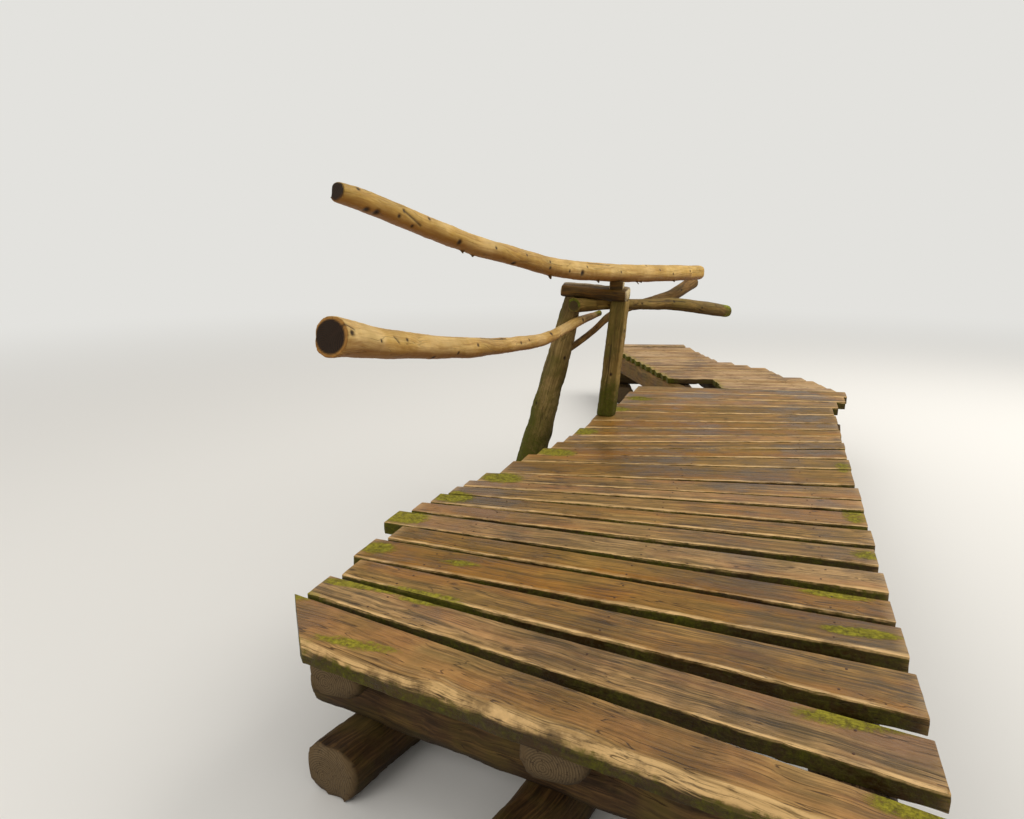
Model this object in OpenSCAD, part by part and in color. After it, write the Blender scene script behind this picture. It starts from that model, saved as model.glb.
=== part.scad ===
// Rustic wooden footbridge. A deck of rough-sawn planks fans along a gentle bend and then turns
// left on a narrower span. Log stringers on cross sills and cribs carry it. Crooked peeled rails
// pass between a leaning post and an upright post that one short cap log ties together.
// X runs across the near span, Y runs along it away from the near end, Z is up.
// The origin is under the middle of the near sill, on the underside of its crib.

/* [Heights] */
// Height of a crib log between its hewn faces
crib_h = 180; // [150:5:210]
// Height of a cross sill between its hewn faces
sill_h = 180; // [150:5:210]
// Height of the near stringers between their hewn faces
stringer_h = 160; // [140:5:190]
// Thickness of the planks of the near span
plank_t = 60; // [50:1:75]
// Thickness of the front plank, which is let into the stringers
front_plank_t = 78; // [76:1:95]
// Thickness of the planks of the far span
far_plank_t = 50; // [40:1:60]

/* [Near span] */
// How far the straight right edge lies from the middle line
right_edge_x = 1000; // [960:5:1040]
// Gap between neighbouring planks at the left edge
plank_gap = 10; // [4:1:14]
// Depth of the waney edge along the front plank
wane = 26; // [10:1:40]

/* [Far span] */
// Direction of the far planks, turned from the X axis
far_turn = 16; // [14:0.5:18]
// Gap between neighbouring far planks
far_gap = 9; // [4:1:14]
// Width of the last plank, beyond the wide gap
end_plank_w = 145; // [110:5:160]
// Wide gap before the last plank
end_gap = 90; // [50:5:120]

/* [Logs] */
// How much a hewn log's diameter exceeds its height between the flats
hewn = 35; // [25:1:45]
// How much a log tapers from its butt to its top end
taper = 16; // [0:1:24]
// Length of a crib log
crib_len = 520; // [400:10:600]
// Length of the near sill
near_sill_len = 1860; // [1750:10:1900]
// Length of the middle sill
middle_sill_len = 1740; // [1650:10:1800]
// Length of the junction sill
junction_sill_len = 1600; // [1560:10:1660]
// Length of the far sill
far_sill_len = 980; // [900:10:1050]
// Width of the squared edge beam of the far span
edge_beam_w = 90; // [70:2:100]
// Diameter of the block under the side stringer
side_block_d = 200; // [140:5:220]
// Diameter of the small prop under the edge beam
prop_d = 80; // [60:2:90]

/* [Posts] */
// Diameter of the log that the upright post is hewn from
upright_d = 130; // [120:2:150]
// Distance of the upright post's hewn faces from its middle
upright_face = 53; // [46:1:58]
// Diameter of the leaning post at its foot
leaning_foot_d = 210; // [190:2:220]
// Diameter of the leaning post at its head
leaning_head_d = 126; // [120:2:140]
// Height of the cap's underside above the deck at the cap's right end
cap_rise = 789; // [740:1:830]
// Length of the cap
cap_len = 450; // [440:5:500]
// Width of the cap
cap_w = 128; // [116:2:136]
// Thickness of the cap in its middle
cap_t = 77; // [70:1:86]
// Slope of the cap's split face, down towards the near side
cap_lean = 12; // [6:1:14]
// Slope of the cap, down towards the upright post
cap_tilt = 4; // [0:0.5:6]
// Height of the chock that packs the upper rail off the cap
chock_h = 46; // [32:1:56]

/* [Rails] */
// Radius of the upper rail where it lies on the chock
upper_r = 59; // [52:1:64]
// Radius of the lower rail where it is nailed to the leaning post
lower_r = 31; // [27:1:36]
// Radius of the middle rail at the leaning post
middle_r = 46; // [40:1:52]
// Radius of the middle rail behind the upright post
middle_waist_r = 36; // [32:1:42]
// Radius of the brace pole at its thin end
brace_tip_r = 20; // [16:1:24]
// Depth of the flats that seat the rails on the posts
seat_cut = 6; // [3:0.5:9]
// Length of the flats where the rails are spiked to a trunk
spike_flat = 230; // [150:10:300]

/* [Hidden] */
$fn = 64;

// Levels, from the underside of the cribs up to the walking surface
sill_z = crib_h;
stringer_z = sill_z + sill_h;
deck_z = stringer_z + stringer_h;
deck_top = deck_z + plank_t;
far_deck_z = deck_top - far_plank_t;
far_stringer_h = far_deck_z - stringer_z;

// Colours of the weathered timber
plank_brown = "#7d6538";
far_grey = "#9a8a6b";
log_brown = "#54422c";
peeled_tan = "#bf984c";
post_olive = "#74653a";
moss_green = "#6b6e34";

// A log along +Y from the origin, tapered from the butt, hewn flat above and below
module log(length, height, shrink = taper) {
    d = height + hewn;
    intersection() {
        translate([0, 0, height / 2])
            rotate([-90, 0, 0])
                cylinder(h = length, r1 = (d + shrink / 2) / 2, r2 = (d - shrink / 2) / 2);
        translate([-d, -1, 0]) cube([2 * d, length + 2, height]);
    }
}

// A log from one plan point to another, resting at height z
module log_between(from, to, z, height, shrink = taper) {
    run = to - from;
    translate([from[0], from[1], z])
        rotate([0, 0, atan2(run[1], run[0]) - 90])
            log(norm(run), height, shrink);
}

// The sills: plan centre and direction of each
near_sill_at = [0, 0];
near_sill_turn = -13;
middle_sill_at = [100, 2150];
middle_sill_turn = 8;
junction_sill_at = [300, 4350];
junction_sill_turn = 7.3;
far_sill_local = [70, 2130];
far_sill_turn = far_turn;

module sill(at, turn, length) {
    translate([at[0], at[1], sill_z])
        rotate([0, 0, turn - 90])
            translate([0, -length / 2, 0]) log(length, sill_h);
}

// Crib logs lie square to the sill at the given offsets along it
module crib(at, turn, offsets) {
    translate([at[0], at[1], 0])
        rotate([0, 0, turn])
            for (offset = offsets)
                translate([offset, -crib_len / 2, 0]) log(crib_len, crib_h, 0);
}

// Plan frame of the far span: its corner beside the junction, X along the far planks
far_corner_from_sill = [-450, 210];
far_corner = junction_sill_at + far_corner_from_sill;
module far_frame() {
    translate([far_corner[0], far_corner[1], 0]) rotate([0, 0, far_turn]) children();
}
function far_to_plan(p) = [
    far_corner[0] + p[0] * cos(far_turn) - p[1] * sin(far_turn),
    far_corner[1] + p[0] * sin(far_turn) + p[1] * cos(far_turn)
];
far_sill_at = far_to_plan(far_sill_local);

near_crib_at = [-700, 0, 700];
middle_crib_at = [-560, 560];
far_crib_at = [-330, 330];
module near_crib() { color(log_brown) crib(near_sill_at, near_sill_turn, near_crib_at); }
module middle_crib() { color(log_brown) crib(middle_sill_at, middle_sill_turn, middle_crib_at); }
module junction_crib() { color(log_brown) crib(junction_sill_at, junction_sill_turn, middle_crib_at); }
module far_crib() { color(log_brown) crib(far_sill_at, far_sill_turn, far_crib_at); }
module near_sill() { color(log_brown) sill(near_sill_at, near_sill_turn, near_sill_len); }
module middle_sill() { color(log_brown) sill(middle_sill_at, middle_sill_turn, middle_sill_len); }
module junction_sill() {
    color(log_brown) sill(junction_sill_at, junction_sill_turn, junction_sill_len);
}
module far_sill() { color(log_brown) sill(far_sill_at, far_sill_turn, far_sill_len); }

// Near planks, nearest first. One row a plank: its share of the left edge, its share of the
// right edge, how far the fan opens its gap at the right, x of its left end, and how far its
// right end passes the edge line
near_rows = [
    [260, 258, 75, -1000, 4],
    [175, 307, 78, -960, 3],
    [170, 325, 80, -925, 8],
    [215, 230, 20, -970, 5],
    [160, 230, 55, -925, -4],
    [175, 250, 60, -1025, 2],
    [140, 210, 30, -975, -5],
    [140, 220, 30, -940, 4],
    [130, 220, 30, -905, -2],
    [110, 160, 10, -880, 3],
    [155, 230, 30, -845, 6],
    [250, 290, 10, -775, -4],
    [155, 215, 10, -735, 2],
    [160, 225, 20, -690, -3],
    [165, 150, 0, -650, 4],
    [160, 150, 0, -615, -5],
    [220, 180, 0, -600, 3],
    [220, 180, 0, -570, -2],
    [290, 245, 0, -575, 5],
    [290, 250, 5, -520, -3],
    [250, 215, 0, -495, 40],
    [245, 210, 0, -500, 105],
    [250, 210, 0, -470, 130]
];
near_count = len(near_rows);
// Where the front edge of the deck starts at the left and at the right
near_start_left = -100;
near_start_right = -550;
function sum(values, count) = count == 0 ? 0 : values[count - 1] + sum(values, count - 1);
left_steps = [for (row = near_rows) row[0]];
right_steps = [for (row = near_rows) row[1]];

// Y of plank i's near edge where it meets its own left end and the right edge line
function left_y(i) = near_start_left + sum(left_steps, i);
function right_y(i) = near_start_right + sum(right_steps, i);
function edge_y(x, y_left, y_right, x_left) =
    y_left + (y_right - y_left) * (x - x_left) / (right_edge_x - x_left);

// Plan outline of near plank i, counted from 0
function near_outline(i) =
    let (row = near_rows[i], x_left = row[3], x_right = right_edge_x + row[4],
         far_left = left_y(i + 1) - plank_gap, far_right = right_y(i + 1) - plank_gap - row[2])
    [
        [x_left, left_y(i)],
        [x_right, edge_y(x_right, left_y(i), right_y(i), x_left)],
        [x_right, edge_y(x_right, far_left, far_right, x_left)],
        [x_left, far_left]
    ];

module near_plank(i) {
    color(plank_brown)
        translate([0, 0, deck_z]) linear_extrude(plank_t) polygon(near_outline(i));
}

// The front plank's left end is sawn at an angle and its front top edge keeps its wane
front_skew = 210;
function front_outline() =
    let (o = near_outline(0))
    [[o[0][0] + front_skew, edge_y(o[0][0] + front_skew, left_y(0), right_y(0), o[0][0])],
     o[1], o[2], o[3]];
module front_plank() {
    edge = front_outline();
    run = edge[1] - edge[0];
    color(plank_brown)
        difference() {
            translate([0, 0, deck_top - front_plank_t])
                linear_extrude(front_plank_t) polygon(edge);
            translate([edge[0][0], edge[0][1], deck_top])
                rotate([0, 0, atan2(run[1], run[0])])
                    rotate([90, 0, 90])
                        translate([0, 0, -300])
                            linear_extrude(norm(run) + 600)
                                polygon([[-1, 1], [-1, -wane * 1.3], [wane * 0.35, -wane * 0.7],
                                         [wane, -wane * 0.2], [wane * 1.2, 1]]);
        }
}

// Three planks fan out to the right where the spans meet
first_fan_plank = 20;
module junction_planks() {
    for (i = [first_fan_plank : near_count - 1]) near_plank(i);
}

// The notch in the near stringers that takes the thicker front plank
module front_notch() {
    o = near_outline(0);
    back = plank_gap / 2;
    translate([0, 0, deck_top - front_plank_t])
        linear_extrude(front_plank_t)
            polygon([[o[0][0], o[0][1] - 400], [o[1][0], o[1][1] - 400],
                     [o[2][0], o[2][1] + back], [o[3][0], o[3][1] + back]]);
}

// Near stringers, from the near end to their end over the junction sill
left_stringer_from = [-720, -80];
stringer_lap = 90;
stringer_end_y = junction_sill_at[1] + stringer_lap;
left_stringer_to = [-270, stringer_end_y];
middle_stringer_from = [60, -265];
middle_stringer_to = [230, stringer_end_y];
right_stringer_from = [820, -455];
right_stringer_to = [705, stringer_end_y];
module near_stringer(from, to) {
    color(log_brown)
        difference() {
            log_between(from, to, stringer_z, stringer_h);
            front_notch();
        }
}
module left_stringer() { near_stringer(left_stringer_from, left_stringer_to); }
module middle_stringer() { near_stringer(middle_stringer_from, middle_stringer_to); }
module right_stringer() { near_stringer(right_stringer_from, right_stringer_to); }

// The near deck's far edge as a line in the far frame: its y at x = 0 and at x = 1000
function plan_to_far(p) =
    let (d = p - far_corner)
    [d[0] * cos(far_turn) + d[1] * sin(far_turn), d[1] * cos(far_turn) - d[0] * sin(far_turn)];
joint_left = plan_to_far([near_rows[near_count - 1][3], left_y(near_count)]);
joint_right = plan_to_far([right_edge_x, right_y(near_count)]);
joint_slope = (joint_right[1] - joint_left[1]) / (joint_right[0] - joint_left[0]);
joint_y = joint_left[1] - joint_slope * joint_left[0];

// Far planks in their own frame. One row a plank: y of its near edge at x = 0 and at
// x = 1000, then x of its left end and x of its right end
far_rows = [
    [joint_y, joint_y + 1000 * joint_slope, 305, 1185],
    [10, -115, 320, 1160],
    [137, 40, 315, 1150],
    [265, 195, -62, 1100],
    [405, 350, -84, 955],
    [550, 510, -118, 940],
    [700, 675, -140, 925],
    [855, 840, -172, 800],
    [1010, 1005, -196, 690],
    [1175, 1175, -232, 560],
    [1340, 1340, -255, 535],
    [1505, 1505, -292, 515],
    [1670, 1670, -318, 500],
    [1835, 1835, -352, 470],
    [2000, 2000, -372, 470],
    [2165, 2165, 0, 0]
];
// The planks before this row are cut short beside the trunk
short_rows = 3;
last_row = len(far_rows) - 1;
function far_edge_y(row, x) = row[0] + (row[1] - row[0]) * x / 1000;
module far_plank(i) {
    row = far_rows[i];
    next = far_rows[i + 1];
    translate([0, 0, far_deck_z])
        linear_extrude(far_plank_t)
            polygon([
                [row[2], far_edge_y(row, row[2])],
                [row[3], far_edge_y(row, row[3])],
                [row[3], far_edge_y(next, row[3]) - far_gap],
                [row[2], far_edge_y(next, row[2]) - far_gap]
            ]);
}
module tree_side_planks() {
    color(far_grey) far_frame() for (i = [0 : short_rows - 1]) far_plank(i);
}
end_plank_left = -400;
end_plank_right = 440;
module far_planks() {
    color(far_grey) far_frame() {
        for (i = [short_rows : last_row - 1]) far_plank(i);
        translate([end_plank_left, far_rows[last_row][0] - far_gap + end_gap, far_deck_z])
            cube([end_plank_right - end_plank_left, end_plank_w, far_plank_t]);
    }
}

// Stringers of the far span in its own frame
edge_beam_from = [100, -300];
edge_beam_to = [-394, 2400];
far_stringer_from = [560, -430];
far_stringer_to = [330, 2400];
side_stringer_from = [1000, -500];
side_stringer_to = [770, 900];
// The near ends of these are shouldered down to go under the thicker junction planks
module joint_notch() {
    translate([-500, 0, deck_z])
        linear_extrude(plank_t)
            polygon([[0, joint_y - 500 * joint_slope], [2000, joint_y + 1500 * joint_slope],
                     [2000, -2000], [0, -2000]]);
}
module edge_beam() {
    run = edge_beam_to - edge_beam_from;
    color(peeled_tan) far_frame()
        difference() {
            translate([edge_beam_from[0], edge_beam_from[1], stringer_z])
                rotate([0, 0, atan2(run[1], run[0]) - 90])
                    translate([-edge_beam_w / 2, 0, 0])
                        cube([edge_beam_w, norm(run), far_stringer_h]);
            joint_notch();
        }
}
module far_stringer() {
    color(log_brown) far_frame()
        difference() {
            log_between(far_stringer_from, far_stringer_to, stringer_z, far_stringer_h);
            joint_notch();
        }
}
module side_stringer() {
    color(log_brown) far_frame()
        difference() {
            log_between(side_stringer_from, side_stringer_to, stringer_z, far_stringer_h, 8);
            joint_notch();
        }
}

// Point on a member, at a share of its length from its start
function along(from, to, share) = from + (to - from) * share;
side_block_share = 0.9;
prop_share = 0.35;
module side_block() {
    at = along(side_stringer_from, side_stringer_to, side_block_share);
    color(log_brown) far_frame()
        translate([at[0], at[1], 0]) cylinder(h = stringer_z, d = side_block_d);
}
module small_prop() {
    at = along(edge_beam_from, edge_beam_to, prop_share);
    color(peeled_tan) far_frame()
        translate([at[0], at[1], 0]) cylinder(h = stringer_z, d = prop_d);
}

// Axes of the two posts, as a foot point and a head point in plan
upright_foot = [-509, 3241];
upright_head = [-434, 3257];
leaning_foot = [-1063, 3046];
leaning_head = [-741, 3200];
// Height above the deck at which the head points are given
head_h = 800;
// Direction that the upright post's front face runs
upright_turn = -9;
function upright_at(rise) = along(upright_foot, upright_head, rise / head_h);
function leaning_at(rise) =
    along(leaning_foot, leaning_head, (deck_top + rise) / (deck_top + head_h));
function leaning_radius(rise) =
    along(leaning_foot_d, leaning_head_d, (deck_top + rise) / (deck_top + head_h)) / 2;

// Stands its children along a leaning axis
module leaned(foot, head, z, height) {
    run = head - foot;
    turn = atan2(run[1], run[0]);
    translate([foot[0], foot[1], z])
        rotate([0, 0, turn]) rotate([0, atan2(norm(run), height), 0]) rotate([0, 0, -turn])
            children();
}

// The cap's own frame: its right end's underside, X along the cap towards the upright post
cap_end = [-380, 3225];
cap_turn = 4.3;
module cap_frame() {
    translate([cap_end[0], cap_end[1], deck_top + cap_rise])
        rotate([0, 0, cap_turn]) rotate([0, cap_tilt, 0]) children();
}
// Height of the cap's underside above the deck, over a plan x
function cap_under(x) = cap_rise + (cap_end[0] - x) * tan(cap_tilt);
module below_cap() {
    cap_frame() translate([-1500, -1500, -2500]) cube([3000, 3000, 2500]);
}

// A rail lies on a post's hewn flat. The flat faces the given direction, at a distance from
// the post's axis. The first block takes off the post's wood, the second the rail's wood.
flat_bite = 9;
function leaning_flat(rise) = leaning_radius(rise) - flat_bite;
upright_flat = upright_d / 2 - flat_bite;
flat_tall = 130;
module seat_at(at, rise, facing) {
    translate([at[0], at[1], deck_top + rise]) rotate([0, 0, facing]) children();
}
module post_side_cut(at, rise, facing, distance) {
    seat_at(at, rise, facing)
        translate([distance, -150, -flat_tall / 2]) cube([150, 300, flat_tall]);
}
module rail_side_cut(at, rise, facing, distance) {
    seat_at(at, rise, facing)
        translate([distance - 60, -150, -flat_tall / 2]) cube([60, 300, flat_tall]);
}
function off_axis(at, facing, distance) = at + distance * [cos(facing), sin(facing)];

// Where the rails meet the posts: direction that each flat faces, and height above the deck
middle_facing = -43.5;
lower_facing = -6.4;
brace_facing = 30;
under_cap = 3;
middle_x_leaning = -680;
middle_x_upright = -502;
middle_rise_leaning = cap_under(middle_x_leaning) - middle_r - under_cap;
middle_rise_upright = cap_under(middle_x_upright) - middle_waist_r - under_cap;
rail_clearance = 32;
lower_rise = middle_rise_leaning - middle_r - lower_r - rail_clearance;
brace_rise = 445;

module upright_post() {
    color(post_olive)
        difference() {
            intersection() {
                leaned(upright_foot, upright_head, deck_top, head_h)
                    rotate([0, 0, upright_turn])
                        translate([0, 0, -60])
                            linear_extrude(head_h + 160)
                                intersection() {
                                    circle(d = upright_d);
                                    translate([-upright_d, -upright_face])
                                        square([upright_d + upright_face, 2 * upright_d]);
                                }
                below_cap();
                translate([upright_foot[0] - 500, upright_foot[1] - 500, deck_top])
                    cube([1000, 1000, 2 * head_h]);
            }
            post_side_cut(upright_at(middle_rise_upright), middle_rise_upright,
                          middle_facing + 180, upright_flat);
        }
}
module leaning_post() {
    color(post_olive)
        difference() {
            intersection() {
                leaned(leaning_foot, leaning_head, 0, deck_top + head_h)
                    translate([0, 0, -100])
                        cylinder(h = deck_top + head_h + 200, d1 = leaning_foot_d, d2 = leaning_head_d);
                below_cap();
                translate([leaning_foot[0] - 500, leaning_foot[1] - 500, 0])
                    cube([1000, 1000, 3 * head_h]);
            }
            post_side_cut(leaning_at(middle_rise_leaning), middle_rise_leaning,
                          middle_facing, leaning_flat(middle_rise_leaning));
            post_side_cut(leaning_at(lower_rise), lower_rise,
                          lower_facing, leaning_flat(lower_rise));
            post_side_cut(leaning_at(brace_rise), brace_rise,
                          brace_facing, leaning_flat(brace_rise));
        }
}

// The cap is a split log: hewn below where it lies on the posts, its split face up and sloping
// to the near side, its right end sawn askew
cap_bark = 8;
cap_round_z = 40;
cap_skew = 18;
// Draws a profile of the cap's depth and height along the cap, from one x to another
module along_cap(from, to) {
    translate([from, 0, 0]) rotate([90, 0, 90]) linear_extrude(to - from) children();
}
// The region below the split face, or above it, as a profile
module split_side(high) {
    half = 2 * cap_w;
    drop = half * tan(cap_lean);
    polygon([[-half, cap_t - drop], [half, cap_t + drop], [half, high], [-half, high]]);
}
module cap_log() {
    color(log_brown)
        cap_frame()
            intersection() {
                along_cap(-cap_len, cap_skew)
                    intersection() {
                        translate([0, cap_round_z]) circle(r = cap_w / 2 + cap_bark);
                        translate([-cap_w / 2, 0]) square([cap_w, 2 * cap_w]);
                        split_side(-cap_w);
                    }
                linear_extrude(2 * cap_w)
                    polygon([[-cap_len, -cap_w], [-cap_skew, -cap_w], [cap_skew, cap_w],
                             [-cap_len, cap_w]]);
            }
}

// The chock sits on the cap's sloping face under the upper rail
chock_x = -82;
chock_size = [92, 84];
module rail_chock() {
    color(log_brown)
        cap_frame()
            along_cap(chock_x - chock_size[0] / 2, chock_x + chock_size[0] / 2)
                intersection() {
                    translate([-chock_size[1] / 2, 0]) square([chock_size[1], cap_t + chock_h]);
                    split_side(2 * cap_w);
                }
}

// Catmull-Rom curve through points of x, y, z and radius
function curve_point(a, b, c, d, t) =
    0.5 * (2 * b + (c - a) * t + (2 * a - 5 * b + 4 * c - d) * t * t
           + (3 * b - a - 3 * c + d) * t * t * t);
function curve(points, steps) =
    let (n = len(points))
    [for (i = [0 : n - 2], s = [0 : steps - 1])
        curve_point(points[max(i - 1, 0)], points[i], points[i + 1],
                    points[min(i + 2, n - 1)], s / steps),
     points[n - 1]];
function unit(v) = v / norm(v);
function place(p) = [p[0], p[1], p[2]];
// Direction of the path at point k
function heading(path, k) =
    unit(place(path[min(k + 1, len(path) - 1)]) - place(path[max(k - 1, 0)]));
// A slightly lumpy ring of the pole round point k of the path
function ring(path, k, sides, lump) =
    let (t = heading(path, k), side = unit(cross(t, [0, 0, 1])), up = cross(side, t))
    [for (j = [0 : sides - 1])
        let (a = 360 * j / sides,
             r = path[k][3] * (1 + lump * (sin(2 * a + 47 * k) + 0.6 * sin(3 * a - 71 * k)) / 2))
        place(path[k]) + r * (cos(a) * side + sin(a) * up)];

// A crooked round pole along the curve through the given points
module pole(points, steps = 3, sides = 14, lump = 0.03) {
    path = curve(points, steps);
    rings = len(path);
    verts = [for (k = [0 : rings - 1]) each ring(path, k, sides, lump)];
    walls = [for (k = [0 : rings - 2], j = [0 : sides - 1], half = [0, 1])
        let (a = k * sides + j, b = k * sides + (j + 1) % sides)
        half == 0 ? [b, a + sides, a] : [b + sides, a + sides, b]];
    start_face = [for (j = [sides - 1 : -1 : 0]) j];
    end_face = [for (j = [0 : sides - 1]) (rings - 1) * sides + j];
    polyhedron(verts, concat(walls, [start_face, end_face]));
}
// A rail's path gives x, y, height above its seat and how much thicker it is than at its seat
function raised(path, rise, r) =
    [for (p = path) [p[0], p[1], deck_top + rise + p[2], r + p[3]]];

// A flat hewn on a rail's side near its end, where it is spiked to a trunk. The side is 1 for
// the left of the heading and -1 for the right.
spike_cut = 10;
module spike_side(point, turn, side) {
    translate([point[0], point[1], point[2] - 150])
        rotate([0, 0, turn])
            translate([-spike_flat, side > 0 ? point[3] - spike_cut : -point[3] + spike_cut - 60, 0])
                cube([2 * spike_flat, 60, 300]);
}

// Upper rail: it lies on the chock and both its ends are spiked to trunks
upper_x_chock = -475;
upper_rise = cap_under(upper_x_chock) + cap_t + chock_h + upper_r - seat_cut;
upper_path = [
    [-1057, 667, 420, -20],
    [-1016, 850, 383, -15],
    [-943, 1185, 301, -14],
    [-903, 1369, 258, -13],
    [-851, 1607, 204, -12],
    [-799, 1840, 166, -11],
    [-734, 2128, 116, -10],
    [-650, 2515, 56, -6],
    [-475, 3216, 0, 0],
    [-310, 3790, -27, 1],
    [-42, 4530, -56, -3]
];
upper_points = raised(upper_path, upper_rise, upper_r);
// Directions that the spiked flats run in plan
upper_near_turn = 77.6;
upper_far_turn = 70;
lower_near_turn = 83.8;
middle_far_turn = 62;
module upper_rail() {
    color(peeled_tan)
        difference() {
            pole(upper_points);
            cap_frame()
                translate([chock_x - cap_w / 2, -cap_w / 2, cap_t + chock_h - 60])
                    cube([cap_w, cap_w, 60]);
            spike_side(upper_points[0], upper_near_turn, 1);
            spike_side(upper_points[len(upper_path) - 1], upper_far_turn, -1);
        }
}

// Lower rail: its thick butt is spiked to a trunk and it is nailed beside the leaning post
lower_seat = off_axis(leaning_at(lower_rise), lower_facing,
                      leaning_flat(lower_rise) + lower_r - seat_cut);
lower_path = [
    [-984, 450, 219, 48],
    [-971, 570, 197, 40],
    [-949, 769, 155, 30],
    [-914, 1075, 102, 24],
    [-874, 1444, 47, 19],
    [-856, 1601, 28, 18],
    [-824, 1891, -2, 11],
    [-771, 2370, -38, 7],
    [-746, 2611, -40, 5],
    [-728, 2784, -26, 1]
];
lower_tip_path = [
    [-662, 3350, 11, -7],
    [-635, 3555, 19, -13]
];
lower_points = concat(
    raised(lower_path, lower_rise, lower_r),
    [[lower_seat[0], lower_seat[1], deck_top + lower_rise, lower_r]],
    raised(lower_tip_path, lower_rise, lower_r)
);
module lower_rail() {
    color(peeled_tan)
        difference() {
            pole(lower_points);
            rail_side_cut(leaning_at(lower_rise), lower_rise, lower_facing,
                          leaning_flat(lower_rise));
            spike_side(lower_points[0], lower_near_turn, 1);
        }
}

// Middle rail: it passes the leaning post on the right and the upright post on the left
middle_seat_leaning = off_axis(leaning_at(middle_rise_leaning), middle_facing,
                               leaning_flat(middle_rise_leaning) + middle_r - seat_cut);
middle_seat_upright = off_axis(upright_at(middle_rise_upright), middle_facing + 180,
                               upright_flat + middle_waist_r - seat_cut);
middle_overhang = 90;
middle_butt = off_axis(middle_seat_leaning, middle_facing - 90, middle_overhang);
middle_swell = 8;
middle_lift = 5;
// The butt is sawn askew, so that it faces the walk. The block takes off all beyond the cut.
middle_saw_skew = 25;
middle_saw_at = 52;
saw_block = 300;
middle_path = [
    [-300, 3670, -27, 3],
    [-190, 3850, -35, 10],
    [-50, 4050, -65, 11],
    [190, 4500, -140, 14]
];
middle_points = concat(
    [[middle_butt[0], middle_butt[1], deck_top + middle_rise_leaning + middle_lift,
      middle_r + middle_swell],
     [middle_seat_leaning[0], middle_seat_leaning[1], deck_top + middle_rise_leaning, middle_r],
     [middle_seat_upright[0], middle_seat_upright[1], deck_top + middle_rise_upright,
      middle_waist_r]],
    raised(middle_path, middle_rise_upright, middle_waist_r)
);
module middle_rail() {
    color(moss_green)
        difference() {
            pole(middle_points, 4);
            rail_side_cut(leaning_at(middle_rise_leaning), middle_rise_leaning,
                          middle_facing, leaning_flat(middle_rise_leaning));
            rail_side_cut(upright_at(middle_rise_upright), middle_rise_upright,
                          middle_facing + 180, upright_flat);
            spike_side(middle_points[len(middle_points) - 1], middle_far_turn, 1);
            translate([middle_seat_leaning[0], middle_seat_leaning[1], middle_points[0][2]])
                rotate([0, 0, middle_facing - 90])
                    translate([middle_saw_at, 0, 0])
                        rotate([0, 0, middle_saw_skew])
                            translate([0, -saw_block / 2, -saw_block / 2]) cube(saw_block);
        }
}

// Brace pole: its thin end butts against the leaning post and it rises to a trunk
brace_bite = 12;
brace_tip = off_axis(leaning_at(brace_rise), brace_facing,
                     leaning_flat(brace_rise) - brace_bite);
brace_path = [
    [-654, 3389, 108, 2],
    [-569, 3556, 202, 6],
    [-475, 3806, 248, 11],
    [-415, 3965, 254, 15],
    [-259, 4376, 285, 27],
    [-182, 4580, 330, 29],
    [-108, 4777, 382, 30]
];
brace_points = concat([[brace_tip[0], brace_tip[1], deck_top + brace_rise, brace_tip_r]],
                      raised(brace_path, brace_rise, brace_tip_r));
module brace_pole() {
    color(post_olive)
        difference() {
            pole(brace_points, 5);
            rail_side_cut(leaning_at(brace_rise), brace_rise, brace_facing,
                          leaning_flat(brace_rise));
        }
}

near_crib();
middle_crib();
junction_crib();
far_crib();
near_sill();
middle_sill();
junction_sill();
far_sill();
left_stringer();
middle_stringer();
right_stringer();
edge_beam();
far_stringer();
side_stringer();
side_block();
small_prop();
front_plank();
near_plank(1);  // plank_02
near_plank(2);  // plank_03
near_plank(3);  // plank_04
near_plank(4);  // plank_05
near_plank(5);  // plank_06
near_plank(6);  // plank_07
near_plank(7);  // plank_08
near_plank(8);  // plank_09
near_plank(9);  // plank_10
near_plank(10);  // plank_11
near_plank(11);  // plank_12
near_plank(12);  // plank_13
near_plank(13);  // plank_14
near_plank(14);  // plank_15
near_plank(15);  // plank_16
near_plank(16);  // plank_17
near_plank(17);  // plank_18
near_plank(18);  // plank_19
near_plank(19);  // plank_20
junction_planks();
tree_side_planks();
far_planks();
upright_post();
leaning_post();
cap_log();
rail_chock();
upper_rail();
lower_rail();
middle_rail();
brace_pole();
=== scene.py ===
# %% [markdown]
# # A rustic wooden footbridge
#
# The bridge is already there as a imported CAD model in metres. This lesson gives each of its timbers
# the wear, grain and colour of real wood that has lain in a wet wood for years, and then sets up a
# camera and soft lamps.

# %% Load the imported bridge
import math
import random

import bmesh
import bpy
import numpy as np
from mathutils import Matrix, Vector, noise


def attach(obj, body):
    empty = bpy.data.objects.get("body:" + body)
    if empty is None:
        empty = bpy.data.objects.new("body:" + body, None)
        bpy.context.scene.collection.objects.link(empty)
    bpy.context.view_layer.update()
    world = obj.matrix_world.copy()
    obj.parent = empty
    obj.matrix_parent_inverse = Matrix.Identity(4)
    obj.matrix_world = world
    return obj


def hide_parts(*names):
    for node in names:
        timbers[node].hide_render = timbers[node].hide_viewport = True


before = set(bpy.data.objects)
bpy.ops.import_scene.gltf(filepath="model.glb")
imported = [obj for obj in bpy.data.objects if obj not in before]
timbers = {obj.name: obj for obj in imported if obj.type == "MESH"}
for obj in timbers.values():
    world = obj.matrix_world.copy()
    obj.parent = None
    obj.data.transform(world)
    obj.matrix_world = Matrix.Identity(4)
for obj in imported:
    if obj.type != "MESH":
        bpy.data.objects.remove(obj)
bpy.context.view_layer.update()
deck_top = 0.580  # metres above the ground
bpy.ops.object.select_all(action="DESELECT")
print("timbers in the model:", len(timbers))

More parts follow.
